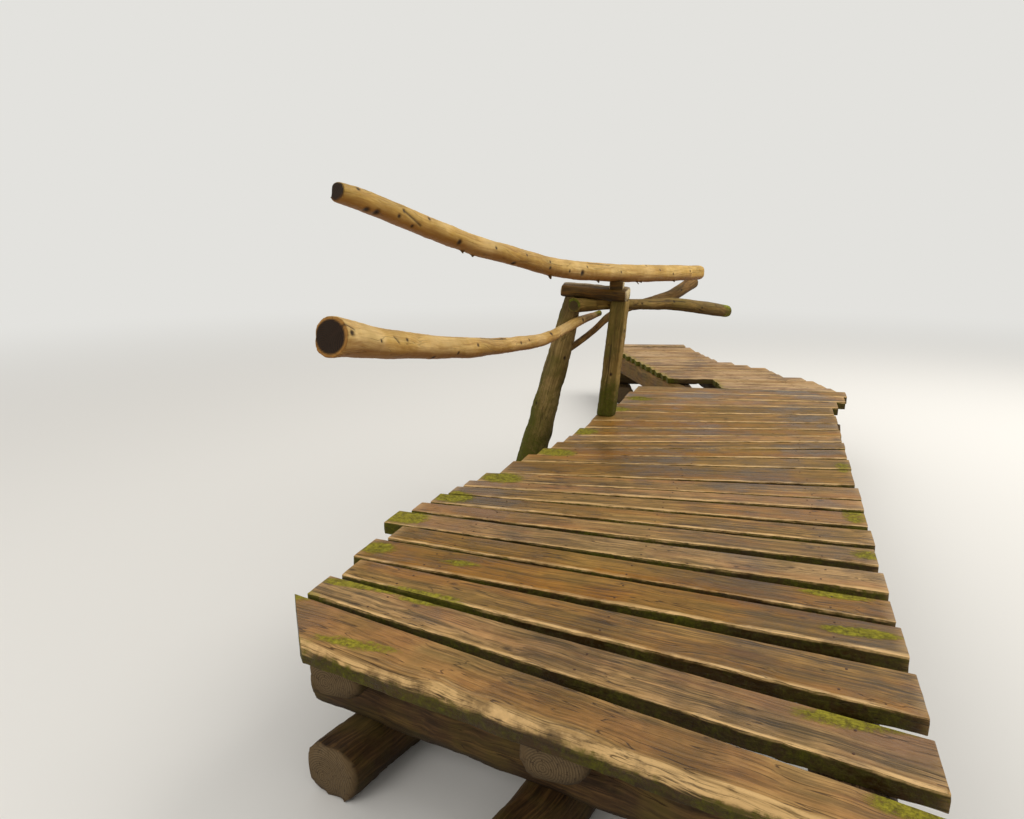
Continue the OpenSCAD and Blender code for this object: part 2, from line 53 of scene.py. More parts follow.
# %% [markdown]
# ## Helpers
#
# Blender's operators act on whatever is selected, so one helper makes a piece the only selected one.
# Another copies a CAD timber, because the CAD mesh itself is never changed. The copy comes as loose
# triangles: its doubled corners are merged, and flat triangles are joined into whole faces, so that
# there are real edges to bevel and cut. The shaped copies are joined again into one piece, which
# rides on the bridge and stands in for the CAD timber.

# %% Helpers for every piece
def alone(piece):
    bpy.ops.object.select_all(action="DESELECT")
    piece.select_set(True)
    bpy.context.view_layer.objects.active = piece
    return piece


def placed(name, data):
    """Puts a mesh, a camera or a lamp into the scene."""
    made = bpy.data.objects.new(name, data)
    bpy.context.scene.collection.objects.link(made)
    return made


def edit_whole(piece):
    alone(piece)
    bpy.ops.object.mode_set(mode="EDIT")
    bpy.ops.mesh.select_all(action="SELECT")


def cad_copy(timber, name):
    mesh = timbers[timber].data.copy()
    mesh.materials.clear()
    piece = placed(name, mesh)
    edit_whole(piece)
    bpy.ops.mesh.customdata_custom_splitnormals_clear()
    bpy.ops.mesh.remove_doubles(threshold=0.0003)
    bpy.ops.mesh.dissolve_limited(angle_limit=math.radians(1))
    bpy.ops.mesh.normals_make_consistent(inside=False)
    bpy.ops.object.mode_set(mode="OBJECT")
    return piece


def loose_parts(piece):
    """Splits a piece into its separate timbers."""
    edit_whole(piece)
    bpy.ops.mesh.separate(type="LOOSE")
    bpy.ops.object.mode_set(mode="OBJECT")
    return sorted(bpy.context.selected_objects, key=lambda part: part.name)


def stand_in(parts, timber, name, smooth_angle):
    alone(parts[0])
    for part in parts:
        part.select_set(True)
    if len(parts) > 1:
        bpy.ops.object.join()
    piece = alone(bpy.context.view_layer.objects.active)
    piece.name = name
    bpy.ops.object.shade_smooth_by_angle(angle=math.radians(smooth_angle))
    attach(piece, "root")
    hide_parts(timber)
    return piece


def points_of(piece):
    co = np.zeros(len(piece.data.vertices) * 3)
    piece.data.vertices.foreach_get("co", co)
    return co.reshape(-1, 3)


def normals_of(piece):
    out = np.zeros(len(piece.data.vertices) * 3, np.float32)
    piece.data.vertex_normals.foreach_get("vector", out)
    return out.reshape(-1, 3).astype(float)


def put_points(piece, co):
    piece.data.vertices.foreach_set("co", co.ravel())
    piece.data.update()


def ripple(co, size, seed):
    """Smooth noise from 0 to 1 at each point; size is a hump's width in metres."""
    shift = Vector((seed * 7.3, seed * 3.1, seed * 5.7))
    return np.array([0.5 + 0.5 * noise.noise(Vector(p) / size + shift) for p in co])


def write_marks(piece, grain, place, spots):
    """Stores the grain's own coordinates and the wear marks on the points, for the finishes."""
    for name, values in (("grain", grain), ("place", place), ("spots", spots)):
        mark = piece.data.attributes.new(name, "FLOAT_VECTOR", "POINT")
        mark.data.foreach_set("vector", values.astype(np.float32).ravel())


# %% [markdown]
# ## Shaping a worn board
#
# A deck board is rough-sawn softwood, walked on and rained on until its arrises are round and its
# ends ragged. One could sculpt it, but 39 boards want a recipe: bevel the arrises, cut the long faces
# into a grid, and let smooth noise pull the surface in by a few millimetres, and by up to 14 at the
# near arris. The noise only pulls inwards, so the boards never touch their neighbours.

# %% The edges and the corners of a board
end_zone = 0.35  # a board's end corners lie this close to its end, in metres


def select_edges(board, direction, at_least, how_close):
    bpy.ops.mesh.select_all(action="DESELECT")
    shape = bmesh.from_edit_mesh(board.data)
    for edge in shape.edges:
        run = edge.verts[1].co - edge.verts[0].co
        if run.length > at_least and abs(run.normalized().dot(direction)) > how_close:
            edge.select_set(True)
    bmesh.update_edit_mesh(board.data)


def board_frame(board):
    """The board's long direction, pointing right, the one across it, and its corners in both."""
    co = board.data.vertices
    longest = max(board.data.edges, key=lambda e: (co[e.vertices[0]].co - co[e.vertices[1]].co).length)
    along = co[longest.vertices[1]].co - co[longest.vertices[0]].co
    along.z = 0
    along.normalize()
    if along.x < 0:
        along.negate()
    across = Vector((-along.y, along.x, 0))
    corners = [(v.co.dot(along), v.co.dot(across)) for v in co]
    left, right = min(corners)[0], max(corners)[0]
    at_left = sorted((c for c in corners if c[0] < left + end_zone), key=lambda c: c[1])
    at_right = sorted((c for c in corners if c[0] > right - end_zone), key=lambda c: c[1])
    return along, across, left, right, at_left, at_right


# %% Moss and wear on a board
# Mossy places on the deck, in metres: x, y, half length along x, half width along y, strength
moss_spots = [
    (-0.72, 0.285, 0.26, 0.030, 1.0), (-0.52, 0.245, 0.12, 0.03, 0.9), (-0.964, 0.978, 0.11, 0.08, 0.8),
    (-0.93, 0.62, 0.10, 0.06, 0.7), (-0.54, 0.58, 0.09, 0.03, 0.6), (-0.62, -0.10, 0.16, 0.03, 0.7),
    (0.816, 0.729, 0.12, 0.03, 0.8), (0.88, 0.463, 0.12, 0.03, 0.9), (0.95, -0.36, 0.12, 0.045, 0.9),
    (0.79, -0.05, 0.14, 0.04, 0.7), (0.93, -0.03, 0.10, 0.04, 0.8), (-0.60, 2.22, 0.12, 0.08, 0.8),
    (-0.74, 1.66, 0.11, 0.09, 0.8), (-0.86, 1.30, 0.10, 0.08, 0.8), (-0.38, 3.88, 0.10, 0.08, 0.7),
    (-0.48, 3.45, 0.10, 0.08, 0.7), (-0.55, 2.75, 0.09, 0.09, 0.7), (0.95, 1.6, 0.06, 0.10, 0.6),
    (0.96, 2.4, 0.05, 0.12, 0.5), (0.96, 1.15, 0.07, 0.05, 0.6), (-0.98, 0.15, 0.08, 0.05, 0.6),
]
# What each shaped board leaves for the nails: its name, its two directions and its end corners
board_lines = []
# Sizes of the wear, in metres: humps of the noise, relief of the walked face, how far the near side's
# wear reaches in, how much a board may have settled, and the lengths of a damp end and a mossy end
long_hump, short_hump = 0.16, 0.045
hollow, ridge = 0.0016, 0.0008
side_strip, walked_strip = 0.02, 0.03
settled = 0.003
damp_end, mossy_end = 0.05, 0.08


def moss_at(co):
    amount = np.zeros(len(co))
    for x, y, half_x, half_y, strength in moss_spots:
        far = np.hypot((co[:, 0] - x) / half_x, (co[:, 1] - y) / half_y)
        amount = np.maximum(amount, strength * np.clip(1.5 - far, 0, 1))
    return amount


def shape_board(board, seed, arris, step, side_wear, rim_width, rim_depth, end_moss):
    chance = random.Random(seed)
    alone(board)
    along, across, left, right, at_left, at_right = board_frame(board)
    board_lines.append((board.name, along, across, at_left, at_right))
    bpy.ops.object.mode_set(mode="EDIT")
    bpy.ops.mesh.select_mode(type="EDGE")
    bpy.ops.mesh.select_all(action="DESELECT")
    bpy.ops.mesh.edges_select_sharp(sharpness=math.radians(50))
    bpy.ops.mesh.bevel(offset=arris, segments=2, affect="EDGES")
    length = right - left
    # the direction of the edges to cut, their least length, how close they keep to it, and the cuts
    for direction, at_least, how_close, cuts in (
            (along, 0.4 * length, 0.95, max(6, round(length / step))), (across, 0.06, 0.6, 6),
            (Vector((0, 0, 1)), 0.025, 0.9, 2)):
        select_edges(board, direction, at_least, how_close)
        bpy.ops.mesh.subdivide(number_cuts=cuts)
    bpy.ops.mesh.select_all(action="SELECT")
    bpy.ops.mesh.normals_make_consistent(inside=False)
    bpy.ops.object.mode_set(mode="OBJECT")

    co, out = points_of(board), normals_of(board)
    flat = np.abs(out[:, 2])
    top = np.clip(out[:, 2], 0, 1)
    u, v = co @ np.array(along), co @ np.array(across)
    share = (u - left) / length
    (u_left, v_left), (u_right, v_right) = at_left[0], at_right[0]
    from_near = v - (v_left + (u - u_left) * (v_right - v_left) / (u_right - u_left))
    # long humps along the board, then short ragged ones; the sides wear more than the walked face
    wide = ripple(np.stack([u * 0.5, v * 2, co[:, 2] * 2], 1), long_hump, seed)
    short = ripple(np.stack([u, v * 1.5, co[:, 2] * 1.5], 1), short_hump, seed + 50)
    ragged = np.clip(short * 2.2 - 0.7, 0, 1)
    wear = side_wear * (0.2 + 0.5 * wide + 0.5 * ragged)
    pull = (1 - flat) * 0.2 * wear
    pull += flat * (hollow * wide + ridge * short)
    pull += top * np.clip(1 - from_near / walked_strip, 0, 1) * 0.7 * side_wear * ragged
    co -= out * pull[:, None]
    # the near side, with both its arrises, is where feet and rain take most of the wood
    co += np.outer(0.8 * wear * np.clip(1.2 - from_near / side_strip, 0, 1), np.array(across))
    # each board lies a little lower or more twisted than the next
    sink, twist = chance.uniform(0, settled), chance.uniform(0, settled)
    if chance.random() < 0.5:
        share = 1 - share
    co[:, 2] -= top * (sink + twist * share)
    put_points(board, co)

    middle = 0.5 * (left + right)
    offset = np.array([chance.uniform(0, 40) for _ in range(3)])
    grain = np.stack([u - middle, v, co[:, 2]], 1) + offset
    ends = np.clip(1 - np.minimum(u - left, right - u) / damp_end, 0, 1)
    moss = np.maximum(moss_at(co), end_moss * np.clip(1.3 - (u - left) / mossy_end, 0, 1))
    place = np.stack([0.4 * ends, moss, np.full(len(co), chance.random())], 1)
    # how far behind the near edge and how far below the deck a point lies, as shares of the wear
    spots = np.stack([from_near / rim_width, (deck_top - co[:, 2]) / rim_depth, np.zeros(len(co))], 1)
    write_marks(board, grain, place, spots)
    return board


def worn_boards(timber, seed, arris=0.0045, step=0.03, side_wear=0.006, rim_width=0.024,
                rim_depth=0.014, end_moss=0.0):
    boards = loose_parts(cad_copy(timber, timber + "_worn"))
    for count, board in enumerate(boards):
        shape_board(board, seed + 3 * count, arris, step, side_wear, rim_width, rim_depth, end_moss)
    return stand_in(boards, timber, timber + "_worn", 35)


# %% [markdown]
# ## The near deck
#
# Twenty-three boards fan along the bend. The front one is thicker and its front arris still has the
# rough wane of the log, so it gets a finer grid and deeper wear. The next few lie close to the eye,
# so their grid is finer too.

# %% The near boards
near_boards = [worn_boards("front_plank", 1, arris=0.004, step=0.012, side_wear=0.011,
                           rim_width=0.050, rim_depth=0.044)]
for number in range(2, 21):
    step, side_wear = (0.02, 0.012) if number < 8 else (0.03, 0.007)
    near_boards.append(worn_boards("plank_%02d" % number, 10 * number, step=step, side_wear=side_wear))
near_boards.append(worn_boards("junction_planks", 300))
print("near boards:", len(near_boards), "points:", sum(len(b.data.vertices) for b in near_boards))

# %% [markdown]
# ## The far deck
#
# Beyond the bend the boards lie in more light and have dried to a paler grey brown. Their left ends
# sit on the squared edge beam and carry a fringe of moss.

# %% The far boards
far_boards = [worn_boards("tree_side_planks", 400, end_moss=0.4),
              worn_boards("far_planks", 500, step=0.04, end_moss=0.42)]
print("far boards:", sum(len(b.data.vertices) for b in far_boards), "points")

# %% [markdown]
# ## Round timber
#
# Posts, rails and bearers are logs. A voxel remesh turns each one into an even net of small squares,
# whatever its facets and hewn flats were. A little smoothing wipes out the facets, and noise brings
# back the lumps that a real pole has. Smoothing thins a pole a little, so the net is pushed out again
# by a given swell. Afterwards each point learns how far along the pole it lies and on which side, so
# that the grain, the knots and the cracks can follow every bend.

# %% The middle line of a pole
def centre_line(piece, points):
    """Sample points along the pole: the given ones, or a straight line through a straight log."""
    if points is None:
        co = points_of(piece)
        middle = co.mean(0)
        run = np.linalg.svd((co - middle)[:: max(1, len(co) // 2000)], full_matrices=False)[2][0]
        reach = (co - middle) @ run
        return np.array([middle + run * reach.min(), middle + run * reach.max()])
    knots = np.array(points)
    dense = []
    for i in range(len(knots) - 1):
        a, b = knots[max(i - 1, 0)], knots[i]
        c, d = knots[i + 1], knots[min(i + 2, len(knots) - 1)]
        for t in np.linspace(0, 1, 12, endpoint=False):
            dense.append(0.5 * (2 * b + (c - a) * t + (2 * a - 5 * b + 4 * c - d) * t * t
                                + (3 * b - a - 3 * c + d) * t ** 3))
    dense.append(knots[-1])
    return np.array(dense)


def side_and_up(heading):
    """Two directions square to the pole: to its right and to its top."""
    side = np.cross(heading, [0, 0, 1.0])
    tiny = np.linalg.norm(side, axis=1) < 0.2
    side[tiny] = np.cross(heading[tiny], [0, 1.0, 0])
    side /= np.linalg.norm(side, axis=1)[:, None]
    return side, np.cross(side, heading)


def reach_of(line):
    """How far along the line each of its points lies."""
    return np.concatenate([[0], np.cumsum(np.linalg.norm(np.diff(line, axis=0), axis=1))])


def along_line(co, line):
    """For each point: distance along the line, its offset sideways and upwards, and the heading."""
    reach = reach_of(line)
    best = np.full(len(co), np.inf)
    s, offset, heading = np.zeros(len(co)), np.zeros((len(co), 3)), np.zeros((len(co), 3))
    for i in range(len(line) - 1):
        a, run = line[i], line[i + 1] - line[i]
        length = np.linalg.norm(run)
        # the first and the last stretch go on past the line's ends
        low, high = -9 if i == 0 else 0, 9 if i == len(line) - 2 else 1
        t = np.clip((co - a) @ run / length ** 2, low, high)
        gap = co - (a + t[:, None] * run)
        distance = np.linalg.norm(gap, axis=1)
        closer = distance < best
        best[closer] = distance[closer]
        s[closer] = (reach[i] + t * length)[closer]
        offset[closer] = gap[closer]
        heading[closer] = run / length
    side, up = side_and_up(heading)
    return s, (offset * side).sum(1), (offset * up).sum(1), heading


# %% [markdown]
# ## Knots, cracks and stubs
#
# Where a branch was trimmed off a pole there is a knot: a low hump with a dark sunken heart. A few
# branches were cut carelessly and left a stub. Each knot is given by its distance along the pole, the
# angle round it (0 is the right side, 90 the top) and its size in millimetres. A stub is a small cone
# that is joined to the pole before the remesh, so that it grows out of it.

# %% Knots and cracks
knot_hump, knot_hollow = 0.26, 0.34  # shares of the knot's size
crack_depth = 0.0025  # metres


def round_gap(turn, other):
    return (turn - other + math.pi) % (2 * math.pi) - math.pi


def knots_at(s, side, up, knots, cracks):
    """How far each point stands out beside the knots, and how dark it is."""
    radius, turn = np.hypot(side, up), np.arctan2(up, side)
    bump, dark = np.zeros(len(s)), np.zeros(len(s))
    for where, angle, size in knots:
        far = np.hypot((s - where) * 0.8, radius * round_gap(turn, math.radians(angle))) * 1000 / size
        hump, heart = knot_hump * np.exp(-(far / 1.7) ** 2), knot_hollow * np.exp(-(far / 0.7) ** 2)
        bump += size / 1000 * (hump - heart)
        dark = np.maximum(dark, np.exp(-(far / 0.85) ** 4))
    for start, start_angle, stop, stop_angle, width in cracks:
        t = np.clip((s - start) / (stop - start), 0, 1)
        angle = np.radians(start_angle + t * (stop_angle - start_angle))
        miss = np.hypot(s - (start + t * (stop - start)), radius * round_gap(turn, angle))
        miss = miss * 1000 / width
        bump -= crack_depth * np.exp(-miss ** 2)
        dark = np.maximum(dark, 0.85 * np.exp(-miss ** 2))
    return bump, dark


# %% Stubs
stub_root = 0.03  # how deep in the pole a stub begins, in metres
stub_lean = 0.35


def add_stub(part, line, where, angle, length, thick):
    """Joins a trimmed branch to the pole; length and thickness in millimetres."""
    reach = reach_of(line)
    i = int(np.clip(np.searchsorted(reach, where) - 1, 0, len(line) - 2))
    run = (line[i + 1] - line[i])[None]
    heading = run / np.linalg.norm(run)
    side, up = side_and_up(heading)
    base = line[i] + heading[0] * (where - reach[i])
    outward = math.cos(math.radians(angle)) * side[0] + math.sin(math.radians(angle)) * up[0]
    lean = Vector(outward + stub_lean * heading[0]).normalized()
    bpy.context.view_layer.update()
    skin = (part.ray_cast(Vector(base), Vector(outward))[1] - Vector(base)).length
    depth = length / 1000 + stub_root
    bpy.ops.object.select_all(action="DESELECT")
    bpy.ops.mesh.primitive_cone_add(
        vertices=9, radius1=thick / 1000, radius2=thick / 1600, depth=depth,
        location=Vector(base + outward * (skin - stub_root)) + lean * depth / 2,
        rotation=lean.to_track_quat("Z", "Y").to_euler())
    stub = bpy.context.view_layer.objects.active
    name = part.name
    alone(part)
    stub.select_set(True)
    bpy.ops.object.join()
    part.name = name


# %% [markdown]
# Each kind of timber can have a function of its own that marks moss, dark places and pale places. It
# gets every point's place, its distance along the pole, its offset to the side and upwards, the way
# that the surface faces there, and how much it belongs to a sawn end.

# %% One round timber
def no_marks(co, s, side, up, out, end):
    empty = np.zeros(len(co))
    return empty, empty, empty


def end_rims(s, side, up, end):
    """The outer ring of each sawn end."""
    radius, rim = np.hypot(side, up), np.zeros(len(s))
    halfway = 0.5 * (s.min() + s.max())
    for here in (s < halfway, s >= halfway):
        disc = here & (end > 0.8)
        if disc.sum() > 20:
            limit = np.percentile(radius[disc], 97)
            rim[here] = (end * np.clip((radius / limit - 0.84) / 0.08, 0, 1))[here]
    return rim


def shape_round(part, seed, voxel, lump, smoothing, swell, points, marks, knots, cracks, stubs):
    low, high = points_of(part).min(0), points_of(part).max(0)
    for stub in stubs:
        add_stub(part, centre_line(part, points), *stub)
    alone(part)
    net = part.modifiers.new("net", "REMESH")
    net.mode = "VOXEL"
    net.voxel_size = voxel
    bpy.ops.object.modifier_apply(modifier="net")
    soft = part.modifiers.new("soft", "SMOOTH")
    soft.factor = 0.5
    soft.iterations = smoothing
    bpy.ops.object.modifier_apply(modifier="soft")
    co, out = points_of(part), normals_of(part)
    s, side, up, heading = along_line(co, centre_line(part, points))
    end = np.clip((np.abs((out * heading).sum(1)) - 0.45) / 0.3, 0, 1)
    pole = np.stack([s * 0.35, side, up], 1)
    push = lump * (ripple(pole, 0.05, seed) - 0.5) + 0.5 * lump * (ripple(co, 0.03, seed + 5) - 0.5)
    bulge = lump * (ripple(co, 0.14, seed + 8) - 0.5)
    bump, dark = knots_at(s, side, up, knots, cracks)
    for where, angle, length, thick in stubs:
        far = np.hypot(s - where - 0.008, np.hypot(side, up) * round_gap(np.arctan2(up, side),
                                                                         math.radians(angle)))
        dark = np.maximum(dark, 0.8 * np.clip(1.6 - far * 1000 / thick, 0, 1))
    # a sawn end stays nearly flat, and nothing leaves the box that the timber had
    shaped = co + out * ((swell + push + bulge + bump) * (1 - 0.8 * end))[:, None]
    put_points(part, np.clip(shaped, low, high))
    chance = random.Random(seed)
    moss, more_dark, pale = marks(co, s, side, up, out, end)
    place = np.stack([end, moss, np.full(len(co), chance.random())], 1)
    spots = np.stack([np.maximum(dark, more_dark), pale, end_rims(s, side, up, end)], 1)
    write_marks(part, np.stack([s, side, up], 1), place, spots)
    return part


def round_timber(timber, seed, voxel=0.012, lump=0.004, smoothing=4, swell=0.0, points=None,
                 marks=no_marks, knots=(), cracks=(), stubs=()):
    parts = loose_parts(cad_copy(timber, timber + "_weathered"))
    for count, part in enumerate(parts):
        shape_round(part, seed + 7 * count, voxel, lump, smoothing, swell, points, marks, knots, cracks,
                    stubs)
    return stand_in(parts, timber, timber + "_weathered", 50)


def hidden_knots(seed, count, reach):
    """Knots on the side of a pole that looks away from the walk."""
    chance = random.Random(seed)
    return [(chance.uniform(0.1, reach), chance.uniform(110, 250), chance.uniform(8, 14))
            for _ in range(count)]


# %% [markdown]
# ## Rails
#
# The rails are young trees, peeled with a drawknife and nailed up as crooked as they grew. Their
# middle lines are the ones of the CAD poles, repeated here in metres, so the grain can run along them.

# %% The two long rails
upper_line = [(-1.057, .667, 1.972), (-1.016, .85, 1.935), (-.943, 1.185, 1.853), (-.903, 1.369, 1.81),
              (-.851, 1.607, 1.756), (-.799, 1.84, 1.718), (-.734, 2.128, 1.668), (-.65, 2.515, 1.608),
              (-.475, 3.216, 1.552), (-.31, 3.79, 1.525), (-.042, 4.53, 1.496)]
lower_line = [(-.984, .45, 1.451), (-.971, .57, 1.429), (-.949, .769, 1.387), (-.914, 1.075, 1.334),
              (-.874, 1.444, 1.279), (-.856, 1.601, 1.26), (-.824, 1.891, 1.23), (-.771, 2.37, 1.194),
              (-.746, 2.611, 1.192), (-.728, 2.784, 1.206), (-.693, 3.174, 1.232), (-.662, 3.35, 1.243),
              (-.635, 3.555, 1.251)]
upper_knots = [
    (0.086, 43, 11), (0.146, -54, 16), (0.204, -49, 18), (0.362, 15, 10), (0.334, -22, 11),
    (0.44, -46, 10), (0.545, 34, 10), (0.788, -31, 17), (1.103, 8, 10), (1.317, -61, 18),
    (1.416, 18, 9), (1.68, 17, 9), (1.686, -21, 11), (1.921, -14, 11), (2.089, -17, 22),
    (2.154, 25, 9), (2.632, 7, 11), (3.094, 61, 10), (3.271, 24, 10), (3.477, -5, 10),
    (3.768, 17, 10)]
upper_stubs = [(0.861, -83, 20, 11), (0.957, -91, 18, 10), (1.748, -77, 26, 13), (2.358, -66, 22, 12),
               (2.943, -61, 34, 8), (3.009, -62, 18, 10), (3.541, -60, 20, 11)]
lower_knots = [
    (0.03, 15, 15), (0.444, 23, 10), (0.238, 5, 9), (1.115, 19, 11), (0.91, -26, 11), (0.708, -57, 13),
    (1.455, 66, 9), (1.659, 13, 11), (1.781, 30, 9), (2.143, 44, 15), (2.282, -19, 9), (2.742, 18, 16)]


def thin_end_marks(co, s, side, up, out, end):
    """The lower rail's thin end is bark-brown, with a pale splinter along its top and a mossy tip."""
    edge = 2.70 + 0.16 * ripple(co, 0.03, 4)
    dark = np.clip((s - edge) / 0.05, 0, 1) * (0.15 + 0.5 * ripple(co, 0.025, 5))
    angle = np.degrees(np.arctan2(up, side))
    pale = np.clip((s - 2.78) / 0.04, 0, 1) * np.clip((3.02 - s) / 0.04, 0, 1) * (
        np.abs(angle - 70) < 22)
    moss = np.clip((s - 2.98) / 0.08, 0, 1) * np.clip(out[:, 2] + 0.7, 0, 1)
    return moss * 0.8, dark * (1 - pale), pale


upper_rail = round_timber(
    "upper_rail", 601, 0.0065, 0.0045, 8, 0.0012, upper_line,
    knots=upper_knots + hidden_knots(1, 14, 3.8),
    cracks=[(0.355, 18, 0.49, -26, 5), (2.2, 60, 2.5, 52, 4)], stubs=upper_stubs)
lower_rail = round_timber(
    "lower_rail", 602, 0.0065, 0.0045, 7, 0.0012, lower_line, marks=thin_end_marks,
    knots=lower_knots + hidden_knots(2, 10, 2.6),
    cracks=[(0.345, 29, 0.378, 7, 5), (0.0, 40, 0.05, 26, 5), (1.2, 70, 1.5, 62, 4)])
print("upper rail points:", len(upper_rail.data.vertices))

# %% The short rail and the brace
middle_line = [(-.743, 3.065, 1.346), (-.681, 3.13, 1.341), (-.501, 3.315, 1.3385), (-.3, 3.67, 1.3115),
               (-.19, 3.85, 1.3035), (-.05, 4.05, 1.2735), (.19, 4.5, 1.1985)]
brace_line = [(-.778, 3.187, 1.025), (-.654, 3.389, 1.133), (-.569, 3.556, 1.227),
              (-.475, 3.806, 1.273), (-.415, 3.965, 1.279), (-.259, 4.376, 1.31), (-.182, 4.58, 1.355),
              (-.108, 4.777, 1.407)]


def middle_marks(co, s, side, up, out, end):
    """Moss along the short rail's top, at its far end and round the upper rim of its butt."""
    radius = np.hypot(side, up)
    butt = s < 0.2
    rim = butt * end * np.clip((radius - 0.028) / 0.008, 0, 1) * (up > -0.01)
    far_end = np.clip((s - s.max() + 0.16) / 0.12, 0, 1)
    cheek = butt * end * np.clip(up / 0.03 + 0.5, 0, 1)
    moss = 0.2 * np.clip(out[:, 2] + 0.1, 0, 1) + 0.5 * far_end + rim + 0.25 * cheek
    dark = butt * end * np.clip((0.034 - radius) / 0.01, 0, 1) * 0.4
    return np.clip(moss, 0, 1), dark, np.zeros(len(co))


middle_rail = round_timber(
    "middle_rail", 603, 0.0065, 0.004, 6, 0.001, middle_line, marks=middle_marks,
    knots=[(0.62, 10, 10), (0.98, 25, 12), (1.3, -5, 10), (1.5, 40, 9), (0.8, 150, 11), (1.2, 200, 10)],
    cracks=[(0.7, 35, 1.1, 28, 4)])
brace_pole = round_timber(
    "brace_pole", 604, 0.0065, 0.004, 5, 0.001, brace_line,
    knots=[(0.5, 20, 9), (0.9, 40, 9), (1.2, 0, 10), (1.5, 30, 10), (0.7, 170, 10)])

# %% [markdown]
# ## Posts, cap and chock
#
# The posts are logs with the bark gone, olive with algae that climbs from the foot. The upright one
# is hewn on its front and right, and its right face is painted lighter, as if lit. The cap is half a
# log, split by hand, with its pale split face to the sky and a cream sawn end.

# %% Posts, cap and chock
def upright_marks(co, s, side, up, out, end):
    """Algae at the foot, and painted light on the hewn face that looks along -9 degrees."""
    turn = math.radians(-9)
    # painted light: the right hewn face is made paler, as if lit from the upper right
    painted_lit_face = np.clip((out @ np.array([math.cos(turn), math.sin(turn), 0]) - 0.75) / 0.15, 0, 1)
    algae = np.clip(1 - (co[:, 2] - deck_top) / 0.35, 0, 1)
    return algae * 0.45, np.zeros(len(co)), painted_lit_face * 0.6


def leaning_marks(co, s, side, up, out, end):
    """Algae from the foot and on the far left side, and painted shadow below the cap."""
    left = np.clip(-out[:, 0] - 0.2, 0, 1)
    algae = 0.4 * np.clip(1.1 - co[:, 2] / 0.9, 0, 1) + 0.35 * left
    # painted shadow: the post darkens towards its top, under the cap
    stain_and_shadow = np.clip((co[:, 2] - 1.22) / 0.1, 0, 1) * 0.5
    return np.clip(algae, 0, 0.6), stain_and_shadow, np.zeros(len(co))


def cap_marks(co, s, side, up, out, end):
    """The split face is pale along its crest, and a tuft of moss sits on the right end."""
    crest = np.clip((up - np.percentile(up, 99) + 0.011) / 0.005, 0, 1)
    split = np.clip((out[:, 2] - 0.5) / 0.2, 0, 1) * crest
    tuft = np.linalg.norm(co - np.array([-0.372, 3.285, 1.395]), axis=1)
    return np.clip(1.5 - tuft / 0.03, 0, 1), np.zeros(len(co)), split


upright_post = round_timber(
    "upright_post", 611, 0.007, 0.008, 4, 0.001, marks=upright_marks,
    knots=[(0.24, 8, 13), (0.52, -15, 11), (0.4, 120, 12), (0.6, 200, 12), (0.3, -100, 12)],
    cracks=[(0.1, -80, 0.5, -76, 4), (0.45, 30, 0.75, 34, 4)])
leaning_post = round_timber(
    "leaning_post", 612, 0.008, 0.012, 5, 0.001, marks=leaning_marks,
    knots=[(0.5, -60, 16), (0.8, -100, 14), (1.05, -20, 13), (0.7, 60, 14), (0.95, 150, 14)],
    cracks=[(0.4, -70, 0.95, -64, 5), (0.7, -120, 1.2, -112, 5)])
cap_log = round_timber("cap_log", 613, 0.006, 0.008, 60, 0.005, marks=cap_marks)
rail_chock = round_timber("rail_chock", 614, 0.005, 0.002, 1)

# %% [markdown]
# ## Bearers
#
# Under the deck lie the stringers, on sills, on short crib logs. They are hardly seen, so their net
# is coarser, but they get bark-like lumps and the same grain.

# %% Stringers, sills, cribs and props
bearers = {}
for count, timber in enumerate([
        "near_crib", "middle_crib", "junction_crib", "far_crib", "near_sill", "middle_sill",
        "junction_sill", "far_sill", "left_stringer", "middle_stringer", "right_stringer",
        "far_stringer", "side_stringer", "side_block"]):
    bearers[timber] = round_timber(timber, 700 + 20 * count, 0.018, 0.010, 2, 0.001)
edge_beam = round_timber("edge_beam", 801, 0.011, 0.004, 1)
small_prop = round_timber("small_prop", 802, 0.009, 0.003, 2)
print("bearers' points:", sum(len(b.data.vertices) for b in bearers.values()))

# %% [markdown]
# ## Nails
#
# Two nails hold each board on each stringer. One head is modelled: a low disc with a bevelled rim,
# slightly domed. It is copied to every crossing of a board and a stringer, and set on the board's own
# worn surface.

# %% One nail head
head_radius, head_length, head_inset, head_dome = 0.0045, 0.006, 0.0018, 0.0009  # metres
bpy.ops.object.select_all(action="DESELECT")
bpy.ops.mesh.primitive_cylinder_add(vertices=10, radius=head_radius, depth=head_length)
nail = bpy.context.view_layer.objects.active
bpy.ops.object.mode_set(mode="EDIT")
bpy.ops.mesh.select_all(action="DESELECT")
bpy.ops.mesh.select_mode(type="FACE")
shape = bmesh.from_edit_mesh(nail.data)
for face in shape.faces:
    face.select_set(face.normal.z > 0.9)
bmesh.update_edit_mesh(nail.data)
bpy.ops.mesh.inset(thickness=head_inset, depth=head_dome)
bpy.ops.object.mode_set(mode="OBJECT")
head_points = points_of(nail)
head_faces = [list(face.vertices) for face in nail.data.polygons]
bpy.data.objects.remove(nail)
print("faces of one nail head:", len(head_faces))

# %% [markdown]
# A board's middle line and a stringer's line cross in plan at one place. There two nails go in, one on
# each side of the middle line, and a seeded nudge of a few millimetres keeps them from a straight row.

# %% Nails over the stringers
nail_apart = 0.27  # from the board's middle line, as a share of its width
end_margin, on_line, head_sunk = 0.03, 0.008, 0.0025  # metres
nudge_x, nudge_y = 0.012, 0.006  # metres


